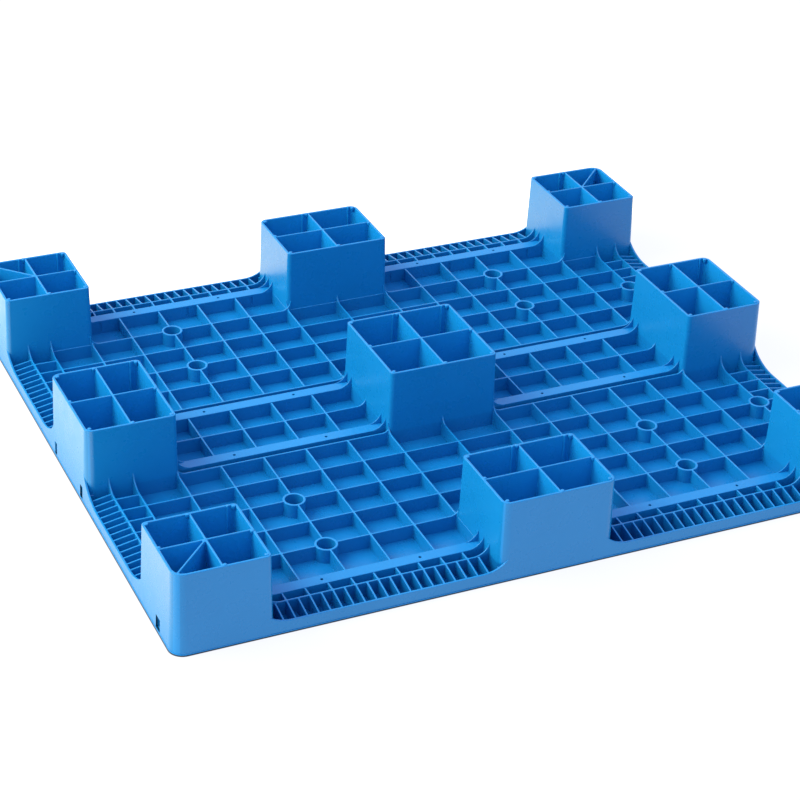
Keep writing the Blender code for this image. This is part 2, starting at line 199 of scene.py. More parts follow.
def filleted(points, radii, steps=CAP_STEPS):
    """An outline with each corner rounded. radii is one radius, or one for each corner."""
    count = len(points)
    if not isinstance(radii, (list, tuple)):
        radii = [radii] * count
    made = []
    for index, (x, y) in enumerate(points):
        radius = radii[index]
        corner = Vector((x, y))
        back = (Vector(points[index - 1]) - corner).normalized()
        on = (Vector(points[(index + 1) % count]) - corner).normalized()
        angle = back.angle(on)
        if radius <= 0 or angle > 3.0:
            made.append((x, y))
            continue
        reach = radius / math.tan(angle / 2)
        centre = corner + (back + on).normalized() * (radius / math.sin(angle / 2))
        start = corner + back * reach - centre
        turn = corner + on * reach - centre
        sweep = start.angle_signed(turn)
        for step in range(steps + 1):
            part = start.copy()
            part.rotate(Matrix.Rotation(-sweep * step / steps, 2))
            made.append((centre.x + part.x, centre.y + part.y))
    return made


def circle(x, y, radius, steps=32):
    return [
        (x + radius * math.cos(math.tau * i / steps), y + radius * math.sin(math.tau * i / steps))
        for i in range(steps)
    ]


def bitten(cell, bosses):
    """A cell's outline, with its corners rounded, or cut back round a boss that stands on one."""
    x0, y0, x1, y1 = cell
    corners = [(x0, y0, 1, 1), (x1, y0, -1, 1), (x1, y1, -1, -1), (x0, y1, 1, -1)]
    made = []
    for index, (x, y, way_x, way_y) in enumerate(corners):
        near = [b for b in bosses if math.dist(b, (x, y)) < BOSS / 2]
        if near:
            made += boss_arc(near[0], x, y, way_x, way_y, index)
            continue
        for step in range(CAP_STEPS + 1):
            angle = math.pi + math.pi / 2 * (index + step / CAP_STEPS)
            made.append(
                (
                    x + CELL_ROUND * (way_x + math.cos(angle)),
                    y + CELL_ROUND * (way_y + math.sin(angle)),
                )
            )
    return made


def boss_arc(centre, x, y, way_x, way_y, index):
    """The arc of a boss's outside between the two sides of a cell's corner."""
    across = abs(x - centre[0]) / BOSS
    along = abs(y - centre[1]) / BOSS
    low = math.asin(along)
    high = math.pi / 2 - math.asin(across)
    steps = 8
    angles = [low + (high - low) * i / steps for i in range(steps + 1)]
    if index % 2 == 0:
        angles.reverse()
    return [
        (centre[0] + way_x * BOSS * math.cos(a), centre[1] + way_y * BOSS * math.sin(a))
        for a in angles
    ]


# ---------------------------------------------------------------- solids

def upright(low, top, draft, rounding, steps=CAP_STEPS):
    """Levels of a wall: (height, how far it stands out). It is drafted and its upper edge is round."""
    levels = [(low, draft), (top - rounding, 0.0)]
    for step in range(1, steps + 1):
        angle = math.pi / 2 * step / steps
        height = top - rounding + rounding * math.sin(angle)
        levels.append((height, -rounding * (1 - math.cos(angle))))
    return levels


def add_plate(bm, outer, holes, outer_levels, hole_levels):
    """A closed solid between the first and last level, from an outline and the holes in it."""
    families = [rings_of(bm, outer, 1, outer_levels)]
    families += [rings_of(bm, hole, -1, hole_levels) for hole in holes]
    join_rings(bm, families)


def add_lofted(bm, plans, heights, holes, hole_levels):
    """As add_plate, for an outside whose outline changes with height."""
    families = [[[bm.verts.new((x, y, h)) for x, y in plan] for plan, h in zip(plans, heights)]]
    families += [rings_of(bm, hole, -1, hole_levels) for hole in holes]
    join_rings(bm, families)


def rings_of(bm, points, sign, levels):
    return [
        [bm.verts.new((x, y, height)) for x, y in shifted(points, sign * out)]
        for height, out in levels
    ]


def join_rings(bm, families):
    """Walls between the rings of each family, and flat faces across all first and all last rings."""
    first_ring = []
    last_ring = []
    for rings in families:
        for below, above in zip(rings, rings[1:]):
            for i in range(len(below)):
                j = (i + 1) % len(below)
                bm.faces.new((below[i], below[j], above[j], above[i]))
        first_ring += ring_edges(bm, rings[0])
        last_ring += ring_edges(bm, rings[-1])
    for edges in (first_ring, last_ring):
        bmesh.ops.triangle_fill(bm, use_beauty=True, edges=edges, normal=(0, 0, 1))


def ring_edges(bm, ring):
    return [bm.edges.get((ring[i - 1], ring[i])) for i in range(len(ring))]


def add_slab(bm, outline, thickness, rounding, matrix):
    """A flat piece that stands on edge: an outline, given a thickness and round edges."""
    before = set(bm.verts)
    half = thickness / 2
    levels = [(-half, -rounding), (-half + rounding, 0), (half - rounding, 0), (half, -rounding)]
    add_plate(bm, outline, [], levels, [])
    new = [v for v in bm.verts if v not in before]
    bmesh.ops.transform(bm, matrix=matrix, verts=new)


def add_sweep(bm, x, y, way, top, radius, thickness=None):
    """The end of a rib that curves up into a foot's wall at (x, y). way points away from the wall."""
    depth = WALL_DEEP
    lean = 0.0013
    steps = 10
    outline = [(-depth, top - 0.002), (radius - lean, top - 0.002)]
    for step in range(steps + 1):
        angle = math.pi / 2 * step / steps
        along = radius - lean - radius * math.sin(angle)
        outline.append((along, top + radius * (1 - math.cos(angle))))
    outline.append((-depth, top + radius))
    out = Vector((way[0], way[1], 0))
    up = Vector((0, 0, 1))
    turn = Matrix((out, up, out.cross(up))).transposed().to_4x4()
    size = thickness or RIB - 0.0003
    add_slab(bm, outline, size, 0.0006, Matrix.Translation((x, y, 0)) @ turn)


def add_post(bm, x, y, radius, length):
    """A round gusset against a wall of a foot's compartment, from the sole down to a taper."""
    low = HEIGHT - length
    levels = [(low, -0.9 * radius), (low + 2 * radius, 0), (HEIGHT - RIM_ROUND, 0)]
    levels += upright(low, HEIGHT, 0, RIM_ROUND)[2:]
    add_plate(bm, circle(x, y, radius, 16), [], levels, [])


def add_block(bm, low, high):
    made = bmesh.ops.create_cube(bm, size=1.0)["verts"]
    for vertex in made:
        for axis in range(3):
            middle = (low[axis] + high[axis]) / 2
            vertex.co[axis] = middle + vertex.co[axis] * (high[axis] - low[axis])


def finish_mesh(name, bm, material, slot, *nodes):
    """The object of a bmesh, with hard edges kept and large faces kept flat, riding on the pallet."""
    bmesh.ops.recalc_face_normals(bm, faces=bm.faces)
    mesh = bpy.data.meshes.new(name)
    bm.to_mesh(mesh)
    bm.free()
    obj = bpy.data.objects.new(name, mesh)
    bpy.context.scene.collection.objects.link(obj)
    smooth(obj)
    obj.data.materials.append(material)
    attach(obj, "root")
    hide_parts(*nodes)
    return obj


def shade(mesh):
    mesh.shade_smooth()
    mesh.set_sharp_from_angle(angle=SHARP)


def smooth(obj):
    shade(obj.data)
    weighted = obj.modifiers.new("flat_faces", "WEIGHTED_NORMAL")
    weighted.keep_sharp = True
    weighted.weight = 80


def add_to(obj, bm):
    """Adds the closed solids of a bmesh to an object that is already cut."""
    bmesh.ops.recalc_face_normals(bm, faces=bm.faces)
    bm.from_mesh(obj.data)
    bm.to_mesh(obj.data)
    bm.free()
    shade(obj.data)


def paint(obj, material, low, high):
    """Gives the faces whose middle is inside a box another material."""
    if material.name not in obj.data.materials:
        obj.data.materials.append(material)
    index = obj.data.materials.find(material.name)
    for face in obj.data.polygons:
        if all(a <= c <= b for a, c, b in zip(low, face.center, high)):
            face.material_index = index


def cut(obj, bm):
    """Takes the closed solids of a bmesh out of an object."""
    bmesh.ops.recalc_face_normals(bm, faces=bm.faces)
    mesh = bpy.data.meshes.new("cutter")
    bm.to_mesh(mesh)
    bm.free()
    cutter = bpy.data.objects.new("cutter", mesh)
    bpy.context.scene.collection.objects.link(cutter)
    modifier = obj.modifiers.new("cut", "BOOLEAN")
    modifier.operation = "DIFFERENCE"
    modifier.solver = "MANIFOLD"
    modifier.object = cutter
    obj.modifiers.move(len(obj.modifiers) - 1, 0)
    flat = obj.modifiers["flat_faces"]
    flat.show_viewport = False
    bpy.context.view_layer.update()
    evaluated = obj.evaluated_get(bpy.context.evaluated_depsgraph_get())
    made = bpy.data.meshes.new_from_object(evaluated)
    obj.modifiers.remove(modifier)
    flat.show_viewport = True
    made.name = obj.data.name
    obj.data = made
    shade(made)
    bpy.data.objects.remove(cutter)


# ---------------------------------------------------------------- materials

PLASTIC_DEEP = (0.005, 0.218, 0.490)
PLASTIC_LIGHT = (0.006, 0.232, 0.520)
# Painted shade: the colour that the walls and floors of cells are darkened towards
CELL_SHADE_COLOUR = (0.002, 0.090, 0.300)
FIELD_SHADE = 0.25
LADDER_SHADE = 0.62
# Scuffs and a painted highlight: the lighter colour that upper faces are mixed towards
SCUFF_HIGHLIGHT_COLOUR = (0.07, 0.33, 0.70)
# Painted light: a lighter copy of the plastic for the walls of the feet's compartments, for light that
# comes through their thin walls
POCKET_GLOW_DEEP = (0.006, 0.262, 0.590)
POCKET_GLOW_LIGHT = (0.008, 0.280, 0.630)
# Painted shade: a near-black copy of the plastic for the faces inside the tubes' ways through the feet
BORE_SHADE_DEEP = (0.002, 0.020, 0.050)
BORE_SHADE_LIGHT = (0.003, 0.032, 0.070)
STEEL_BRIGHT = (0.42, 0.43, 0.44)
STEEL_DULL = (0.30, 0.29, 0.28)
RANGE_SOCKETS = ("From Min", "From Max", "To Min", "To Max")


def node(tree, kind, **settings):
    made = tree.nodes.new(kind)
    for key, value in settings.items():
        setattr(made, key, value)
    return made


def noise(tree, place, scale, detail=3.0, roughness=0.5):
    made = node(tree, "ShaderNodeTexNoise")
    made.inputs["Scale"].default_value = scale
    made.inputs["Detail"].default_value = detail
    made.inputs["Roughness"].default_value = roughness
    tree.links.new(place, made.inputs["Vector"])
    return made.outputs["Fac"]


def remap(tree, value, from_low, from_high, to_low, to_high, smooth_step=False):
    made = node(tree, "ShaderNodeMapRange")
    made.interpolation_type = "SMOOTHSTEP" if smooth_step else "LINEAR"
    for key, number in zip(RANGE_SOCKETS, (from_low, from_high, to_low, to_high)):
        made.inputs[key].default_value = number
    tree.links.new(value, made.inputs["Value"])
    return made.outputs["Result"]


def maths(tree, operation, first, second):
    made = node(tree, "ShaderNodeMath", operation=operation)
    for socket, value in zip(made.inputs, (first, second)):
        if isinstance(value, (int, float)):
            socket.default_value = value
        else:
            tree.links.new(value, socket)
    return made.outputs[0]


def mix_colour(tree, share, first, second):
    made = node(tree, "ShaderNodeMix", data_type="RGBA")
    tree.links.new(share, made.inputs["Factor"])
    for socket, value in ((made.inputs["A"], first), (made.inputs["B"], second)):
        if isinstance(value, tuple):
            socket.default_value = (*value, 1.0)
        else:
            tree.links.new(value, socket)
    return made.outputs["Result"]


def bump(tree, height, strength, distance, normal=None):
    made = node(tree, "ShaderNodeBump")
    made.inputs["Strength"].default_value = strength
    made.inputs["Distance"].default_value = distance
    tree.links.new(height, made.inputs["Height"])
    if normal is not None:
        tree.links.new(normal, made.inputs["Normal"])
    return made.outputs["Normal"]


def new_material(name):
    """A material, its tree and its shader."""
    material = bpy.data.materials.new(name)
    material.use_nodes = True
    tree = material.node_tree
    return material, tree, tree.nodes["Principled BSDF"]


def stretched(tree, place, scale, turn=(0, 0, 0)):
    made = node(tree, "ShaderNodeMapping")
    made.inputs["Scale"].default_value = scale
    made.inputs["Rotation"].default_value = turn
    tree.links.new(place, made.inputs["Vector"])
    return made.outputs[0]


def axes_of(tree, vector):
    """The three numbers of a vector, as sockets."""
    parts = node(tree, "ShaderNodeSeparateXYZ")
    tree.links.new(vector, parts.inputs[0])
    return [parts.outputs[axis] for axis in "XYZ"]


def facing_up(tree):
    normal = node(tree, "ShaderNodeTexCoord").outputs["Normal"]
    return remap(tree, axes_of(tree, normal)[2], 0.35, 0.90, 0, 1, True)


def cell_shade(tree, place):
    """Painted shade: how far the colour is darkened on the walls and floors of cells, most in the long
    sides' ladders, where little light reaches.
    """
    x, y, height = axes_of(tree, place)
    along = maths(tree, "ABSOLUTE", x, 0)
    across = maths(tree, "ABSOLUTE", y, 0)
    walls = maths(tree, "SUBTRACT", 1, facing_up(tree))
    floors = remap(tree, height, 0.010, 0.014, 1, 0)
    faces = maths(tree, "MAXIMUM", walls, floors)
    low = remap(tree, height, RIB_TOP - 0.001, RIB_TOP + 0.004, 1, 0, True)
    between = remap(tree, along, GRID_X[-1], GRID_X[-1] + 0.0005, 1, 0)
    within = remap(tree, across, HALF_Y - 0.0022, HALF_Y - 0.0018, 1, 0)
    rail = HALF_Y - FRONT_RAIL
    # Painted shade: a little in the field's cells, more in the ladders beyond the rail
    depth = remap(tree, across, rail, rail + 0.0005, FIELD_SHADE, LADDER_SHADE)
    for share in (faces, low, between, within):
        depth = maths(tree, "MULTIPLY", depth, share)
    return depth


def scuffs_and_highlights(tree, place):
    """Where the plastic is scuffed, and where its upper faces are painted lighter as a highlight: the upper
    faces of ribs, channels and rims, and the deck's edge.
    """
    height = axes_of(tree, place)[2]
    upper = facing_up(tree)
    tops = maths(tree, "MULTIPLY", upper, remap(tree, height, SKIRT_TOP - 0.004, SKIRT_TOP - 0.002, 0, 1))
    foot = remap(tree, height, 0.0, 0.0035, 1, 0, True)
    return maths(tree, "MAXIMUM", tops, foot)


def blue_plastic(name, deep, light):
    """Satin injection-moulded polyolefin: fine grain, slow flow marks, scuffed upper faces that are also
    painted lighter as a highlight, and painted shade in the cells.
    """
    material, tree, shader = new_material(name)
    place = node(tree, "ShaderNodeTexCoord").outputs["Object"]
    flow = noise(tree, place, 9.0, 4.0, 0.55)
    cloud = noise(tree, place, 45.0, 3.0)
    grain = noise(tree, place, 2600.0, 2.0, 0.6)
    wave = noise(tree, place, 28.0, 2.0)
    scratch = noise(tree, stretched(tree, place, (1.0, 0.12, 0.35), (0.2, 0.1, 0.6)), 420.0, 6.0, 0.7)
    scuff_and_highlight = maths(tree, "MULTIPLY", remap(tree, scratch, 0.50, 0.68, 0.10, 1, True), scuffs_and_highlights(tree, place))
    open_face = mix_colour(tree, remap(tree, flow, 0.3, 0.7, 0, 1), deep, light)
    # Painted shade on the walls and floors of cells
    cell_shaded_face = mix_colour(tree, cell_shade(tree, place), open_face, CELL_SHADE_COLOUR)
    # Scuffs, and a painted highlight on upper faces
    colour = mix_colour(tree, remap(tree, scuff_and_highlight, 0, 1, 0, 0.22), cell_shaded_face, SCUFF_HIGHLIGHT_COLOUR)
    tree.links.new(colour, shader.inputs["Base Color"])
    patches = remap(tree, cloud, 0.3, 0.7, 0.25, 0.32)
    streaks = remap(tree, flow, 0.3, 0.7, -0.02, 0.02)
    rough = maths(tree, "ADD", maths(tree, "ADD", patches, streaks), maths(tree, "MULTIPLY", scuff_and_highlight, 0.25))
    tree.links.new(rough, shader.inputs["Roughness"])
    shader.inputs["IOR"].default_value = 1.49
    slow = bump(tree, wave, 0.04, 0.0006)
    fine = bump(tree, grain, 0.04, 0.00004, slow)
    marks = bump(tree, scuff_and_highlight, 0.25, 0.00010, fine)
    tree.links.new(marks, shader.inputs["Normal"])
    return material


def brushed_steel():
    """Welded steel tube, drawn along X, with a thin dull oxide."""
    material, tree, shader = new_material("brushed_steel")
    shader.inputs["Metallic"].default_value = 1.0
    place = node(tree, "ShaderNodeTexCoord").outputs["Object"]
    lines = noise(tree, stretched(tree, place, (0.02, 1.0, 1.0)), 2200.0, 4.0, 0.7)
    oxide = remap(tree, noise(tree, place, 60.0, 4.0), 0.35, 0.7, 0, 1)
    colour = mix_colour(tree, oxide, STEEL_BRIGHT, STEEL_DULL)
    tree.links.new(colour, shader.inputs["Base Color"])
    tree.links.new(remap(tree, lines, 0.3, 0.7, 0.28, 0.46), shader.inputs["Roughness"])
    tree.links.new(bump(tree, lines, 0.2, 0.00005), shader.inputs["Normal"])
    return material


BLUE = blue_plastic("blue_plastic", PLASTIC_DEEP, PLASTIC_LIGHT)
BORE_SHADE = blue_plastic("blue_plastic_bore_shade", BORE_SHADE_DEEP, BORE_SHADE_LIGHT)
POCKET_GLOW = blue_plastic("blue_plastic_painted_glow", POCKET_GLOW_DEEP, POCKET_GLOW_LIGHT)
STEEL = brushed_steel()


# ---------------------------------------------------------------- deck

def make_deck():
    """The flat sheet, with a round edge all the way round."""
    bm = bmesh.new()
    outline = filleted(box_outline(-HALF_X, -HALF_Y, HALF_X, HALF_Y), PALLET_CORNER[0], 8)
    steps = 5
    levels = []
    for step in range(steps + 1):
        angle = math.pi / 2 * step / steps
        levels.append((DECK_EDGE * (1 - math.cos(angle)), -DECK_EDGE * (1 - math.sin(angle))))
    levels += upright(0, DECK_TOP, 0, EDGE_ROUND)[1:]
    add_plate(bm, outline, [], levels, [])
    finish_mesh("load_deck_sheet", bm, BLUE, BLUE_SLOT, "load_deck")


# ---------------------------------------------------------------- feet

class Foot:
    """One foot's plan. column and row are -1, 0 or 1."""

    def __init__(self, column, row):
        self.column = column
        self.row = row
        self.node = f"foot_{ROWS[row]}_{COLUMNS[column]}"
        low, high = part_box(self.node)
        ledge_x = [LEDGE if column == side else 0 for side in (-1, 1)]
        ledge_y = [LEDGE if row == side else 0 for side in (-1, 1)]
        self.base = (low.x + ledge_x[0], low.y + ledge_y[0], high.x - ledge_x[1], high.y - ledge_y[1])
        draft_x = [OUTER_DRAFT if column == side else INNER_DRAFT for side in (-1, 1)]
        draft_y = [OUTER_DRAFT if row == side else INNER_DRAFT for side in (-1, 1)]
        self.rim = (low.x + draft_x[0], low.y + draft_y[0], high.x - draft_x[1], high.y - draft_y[1])

    def outline(self, height):
        """The outside at a height, between the base at the deck and the rim."""
        share = clamped(height / HEIGHT)
        box = [a + (b - a) * share for a, b in zip(self.base, self.rim)]
        radii = [self.radius(corner, height) for corner in CORNERS]
        return filleted(box_outline(*box), radii, CORNER_STEPS)

    def radius(self, corner, height):
        """A vertical edge's radius, which is larger on the pallet's outside and shrinks towards the rim."""
        inward = self.column * corner[0] < 0 or self.row * corner[1] < 0
        if corner == (self.column, self.row):
            base, rim = PALLET_CORNER
        elif (self.column or self.row) and not inward:
            base, rim = SIDE_CORNER
        else:
            base, rim = FOOT_CORNER
        return base + (rim - base) * clamped(height / HEIGHT)

    def channels(self):
        return [self.row * OUTER_Y] if self.row else [-INNER_Y, INNER_Y]


def pocket_outlines(foot):
    """The compartments between a foot's walls and its webs, at the rim."""
    x0, y0, x1, y1 = foot.rim
    x0, y0, x1, y1 = x0 + WALL, y0 + WALL, x1 - WALL, y1 - WALL
    middle_x, middle_y = (x0 + x1) / 2, (y0 + y1) / 2
    outlines = []
    for side_x, edge_x in ((-1, x0), (1, x1)):
        for side_y, edge_y in ((-1, y0), (1, y1)):
            near_x = middle_x + side_x * WEB / 2
            near_y = middle_y + side_y * WEB / 2
            if (side_x, side_y) == (foot.column, foot.row):
                outlines += split_pocket(near_x, near_y, edge_x, edge_y)
                continue
            box_x, box_y = sorted((near_x, edge_x)), sorted((near_y, edge_y))
            box = box_outline(box_x[0], box_y[0], box_x[1], box_y[1])
            at = CORNERS.index((side_x, side_y))
            radii = [POCKET_ROUND] * 4
            radii[at] = foot.radius((side_x, side_y), HEIGHT) - WALL
            outlines.append(filleted(box, radii))
    return outlines


def split_pocket(near_x, near_y, edge_x, edge_y):
    """The two halves that a diagonal web leaves of the compartment at the pallet's own corner."""
    sign_x = math.copysign(1, edge_x - near_x)
    sign_y = math.copysign(1, edge_y - near_y)
    long_x, long_y = abs(edge_x - near_x), abs(edge_y - near_y)
    offset = WEB / math.sqrt(2)
    bend = PALLET_CORNER[1] - WALL
    inner = bend * (1 - math.sqrt(0.5)) - offset / 2

    def ordered(pairs):
        points = [(edge_x - sign_x * x, edge_y - sign_y * y) for x, y in pairs]
        turn = sum(a[0] * b[1] - b[0] * a[1] for a, b in zip(points, points[1:] + points[:1]))
        return points if turn > 0 else points[::-1]

    first = ordered([(long_x - offset, long_y), (0, long_y), (0, bend), (inner, inner + offset)])
    second = ordered([(long_x, long_y - offset), (inner + offset, inner), (bend, 0), (long_x, 0)])
    return [filleted(first, 0.0012, 2), filleted(second, 0.0012, 2)]


def make_foot(foot):
    """A hollow box with a cross of webs, open at the sole, with the ways of the tubes cut through it."""
    bm = bmesh.new()
    low = DECK_TOP - SUNK
    levels = upright(low, RIM, 0.0, RIM_ROUND)
    heights = [height for height, _ in levels]
    plans = [shifted(foot.outline(height), out) for height, out in levels]
    add_lofted(bm, plans, heights, pocket_outlines(foot), upright(low, RIM, POCKET_DRAFT, RIM_ROUND))
    obj = finish_mesh(foot.node + "_shell", bm, BLUE, BLUE_SLOT, foot.node)
    cutter = bmesh.new()
    for y in foot.channels():
        add_block(cutter, *tube_way(foot, y, ROOM))
    cut(obj, cutter)
    posts = bmesh.new()
    for x, y in post_places(foot):
        add_post(posts, x, y, POST, POST_LENGTH)
    for x, y in ridge_places(foot):
        add_post(posts, x, y, RIDGE, RIDGE_LENGTH)
    add_to(obj, posts)
    x0, y0, x1, y1 = foot.rim
    half = WALL / 2
    # The compartments' walls take the lighter copy of the plastic: painted light, for light that comes
    # through the thin walls
    paint(obj, POCKET_GLOW, (x0 + half, y0 + half, 0), (x1 - half, y1 - half, RIM - RIM_ROUND))
    # The faces inside the tubes' ways take the near-black copy: painted shade, where little light gets in
    for y in foot.channels():
        paint(obj, BORE_SHADE, *tube_way(foot, y, ROOM + TOUCH))


def tube_way(foot, y, room):
    """Two corners of the box that a tube's way takes through a foot, with some room round the bore."""
    x0, _, x1, _ = foot.base
    return (
        (x0 - WALL, y - BORE_HALF - room, BORE_LOW - room),
        (x1 + WALL, y + BORE_HALF + room, BORE_HIGH + room),
    )


def inner_rim(foot):
    x0, y0, x1, y1 = foot.rim
    return x0 + WALL, y0 + WALL, x1 - WALL, y1 - WALL


def post_places(foot):
    """A gusset beside each end of both webs, and in each of a foot's corners but the pallet's own."""
    x0, y0, x1, y1 = inner_rim(foot)
    middle_x, middle_y = (x0 + x1) / 2, (y0 + y1) / 2
    beside = WEB / 2 + POST / 2
    places = [(middle_x + beside, y0), (middle_x - beside, y1)]
    places += [(x0, middle_y + beside), (x1, middle_y - beside)]
    for side_x, x in ((-1, x0), (1, x1)):
        for side_y, y in ((-1, y0), (1, y1)):
            if (side_x, side_y) != (foot.column, foot.row):
                inset = 0.35 * foot.radius((side_x, side_y), HEIGHT)
                places.append((x - side_x * inset, y - side_y * inset))
    return places


def ridge_places(foot):
    """The long ridges on a foot's back wall, one in each compartment beside it."""
    x0, y0, x1, y1 = inner_rim(foot)
    places = [(x1 - RIDGE_PLACE, y1)] if (1, 1) != (foot.column, foot.row) else []
    if foot.row > 0 or foot.column == 0:
        places.append(((x0 + x1) / 2 - RIDGE_PLACE, y1))
    return places


# ---------------------------------------------------------------- ribs

def spans(lines, low_edge, high_edge):
    """The gaps between ribs on these centre lines, from one edge to the other."""
    edges = [low_edge]
    for line in lines:
        edges += [line - RIB / 2, line + RIB / 2]
    edges.append(high_edge)
    pairs = list(zip(edges[::2], edges[1::2]))
    return [(a, b) for a, b in pairs if b - a > 2 * RIB]


def clear_of(cell, blocks):
    """The largest part of a cell that no block covers, or None where little is left."""
    x0, y0, x1, y1 = cell
    for bx0, by0, bx1, by1 in blocks:
        if bx0 >= x1 or bx1 <= x0 or by0 >= y1 or by1 <= y0:
            continue
        choices = [(x0, y0, bx0, y1), (bx1, y0, x1, y1), (x0, y0, x1, by0), (x0, by1, x1, y1)]
        x0, y0, x1, y1 = max(choices, key=lambda c: max(c[2] - c[0], 0) * max(c[3] - c[1], 0))
    return (x0, y0, x1, y1) if min(x1 - x0, y1 - y0) > 2 * RIB else None


BOSSES = [(side * GRID_X[c], GRID_Y[r]) for side in (-1, 1) for c, r in ((3, 2), (3, 4), (6, 2))]
RIB_LEVELS = upright(DECK_TOP - 0.0003, RIB_TOP, RIB_DRAFT, RIB_ROUND)
FLUSH_LEVELS = [(height, 0.0) for height, _ in RIB_LEVELS]


def foot_blocks(margin):
    """The plans of the feet around one rib field, smaller by a margin, for the +Y side."""
    low_x, high_x = MIDDLE_X - margin, CORNER_X + margin
    blocks = []
    for x0, x1 in ((-low_x, low_x), (high_x, HALF_X), (-HALF_X, -high_x)):
        blocks.append((x0, 0, x1, MIDDLE_Y - margin))
        blocks.append((x0, CORNER_Y + margin, x1, HALF_Y))
    return blocks


def mirrored(points, side):
    """A plan for the +Y side, on either side, and still anticlockwise."""
    return points if side > 0 else [(x, -y) for x, y in reversed(points)]


def make_field(side):
    """The rib grid between the inner and outer channels on one side."""
    bm = bmesh.new()
    near = INNER_Y + HALF_CHANNEL
    far = OUTER_Y - HALF_CHANNEL
    middle, corner = MIDDLE_X - WALL_DEEP, CORNER_X + WALL_DEEP
    centre_y, corner_y = MIDDLE_Y - WALL_DEEP, CORNER_Y + WALL_DEEP
    end = GRID_X[-1]
    right = [
        (middle, centre_y), (middle, near - HIDDEN), (corner, near - HIDDEN), (corner, centre_y),
        (end, centre_y), *field_bulge(end), (end, corner_y), (corner, corner_y), (corner, far + HIDDEN),
        (middle, far + HIDDEN), (middle, corner_y),
    ]
    left = [(-x, y) for x, y in reversed(right)]
    blocks = foot_blocks(WALL_HIDDEN)
    half = RIB / 2
    columns_x = [-x for x in reversed(GRID_X[:-1])] + [0] + GRID_X[:-1]
    columns = spans(columns_x, half - end, end - half)
    rows = spans(GRID_Y, near - HIDDEN, far + HIDDEN)[1:]
    cells = [(x0, y0, x1, y1) for x0, x1 in columns for y0, y1 in rows]
    cells = [clear_of(cell, blocks) for cell in cells]
    holes = [bitten(cell, BOSSES) for cell in cells if cell]
    for x0, x1 in ((-corner, -middle), (middle, corner)):
        grow = WALL_DEEP - WALL_HIDDEN
        holes.append(box_outline(x0 + grow, near - HIDDEN / 4, x1 - grow, GRID_Y[0] - half))
    holes += [circle(x, y, BOSS_BORE) for x, y in BOSSES]
    holes = [mirrored(hole, side) for hole in holes]
    add_plate(bm, mirrored(right + left, side), holes, FLUSH_LEVELS, RIB_LEVELS)
    add_field_sweeps(bm, side)
    finish_mesh(f"rib_field_{ROWS[side]}_grid", bm, BLUE, BLUE_SLOT, f"rib_field_{ROWS[side]}")


def add_field_sweeps(bm, side):
    """The curved ends of the ribs that run into the feet round one rib field."""
    inset = FOOT_CORNER[0] / 2
    for half_side in (-1, 1):
        for x, way in ((MIDDLE_X - inset, 1), (CORNER_X + inset, -1)):
            for y in (GRID_Y[0], GRID_Y[-1]):
                add_sweep(bm, half_side * x, side * y, (half_side * way, 0), RIB_TOP, RIB_SWEEP)
        for y, way in ((MIDDLE_Y, 1), (CORNER_Y, -1)):
            for x in (GRID_X[0], GRID_X[5]):
                add_sweep(bm, half_side * x, side * (y - inset * way), (0, side * way), RIB_TOP, RIB_SWEEP)
            add_sweep(bm, half_side * GRID_X[-1], side * y, (0, side * way), RIB_TOP, RAIL_SWEEP)
    for y, way in ((MIDDLE_Y, 1), (CORNER_Y, -1)):
        add_sweep(bm, 0, side * y, (0, side * way), RIB_TOP, RIB_SWEEP)


def field_bulge(end):
    """The part of a side boss beyond the field's last rib, up to where the edge frame's part meets it."""
    y = GRID_Y[2]
    angles = [math.pi * i / ARC_STEPS for i in range(ARC_STEPS + 1)]
    return [(end + BULGE * math.sin(angle), y - BULGE * math.cos(angle)) for angle in angles]


def make_strip(side):
    """The two rows of cells between the inner channels, beside the centre foot."""
    bm = bmesh.new()
    near, far = MIDDLE_X, CORNER_X
    edge = INNER_Y - HALF_CHANNEL
    outline = box_outline(near - WALL_DEEP, -edge - HIDDEN, far + WALL_DEEP, edge + HIDDEN)
    columns = spans(GRID_X[1:5], near - WALL_HIDDEN, far + WALL_HIDDEN)
    rows = spans([0], -edge - HIDDEN / 4, edge + HIDDEN / 4)
    holes = [bitten((x0, y0, x1, y1), []) for x0, x1 in columns for y0, y1 in rows]
    plans = [outline, *holes]
    if side < 0:
        plans = [[(-x, y) for x, y in reversed(plan)] for plan in plans]
    add_plate(bm, plans[0], plans[1:], FLUSH_LEVELS, RIB_LEVELS)
    for x, way in ((near, 1), (far, -1)):
        add_sweep(bm, side * x, 0, (side * way, 0), RIB_TOP, RIB_SWEEP)
    finish_mesh(f"rib_strip_{COLUMNS[side]}_grid", bm, BLUE, BLUE_SLOT, f"rib_strip_{COLUMNS[side]}")


# ---------------------------------------------------------------- edges

class Edge:
    """The frames along one side, in a plan of (along, depth) from the outside."""

    def __init__(self, axis, half, rail, end, first, pitch, count, start, stop, sweep):
        self.axis = axis
        self.half = half
        self.rail = rail
        self.end = end
        self.first = first
        self.pitch = pitch
        self.count = count
        self.start = start
        self.stop = stop
        self.sweep = sweep

    def across(self):
        """The axis that the side's depth is measured along."""
        return 1 if self.axis == "X" else 0

    def place(self, along, depth, side, half_side):
        across = side * (self.half - depth)
        return (half_side * along, across) if self.axis == "X" else (across, half_side * along)

    def plan(self, points, side, half_side):
        """Points placed on the pallet, anticlockwise."""
        placed = [self.place(along, depth, side, half_side) for along, depth in points]
        turn = sum(a[0] * b[1] - b[0] * a[1] for a, b in zip(placed, placed[1:] + placed[:1]))
        return placed if turn > 0 else placed[::-1]


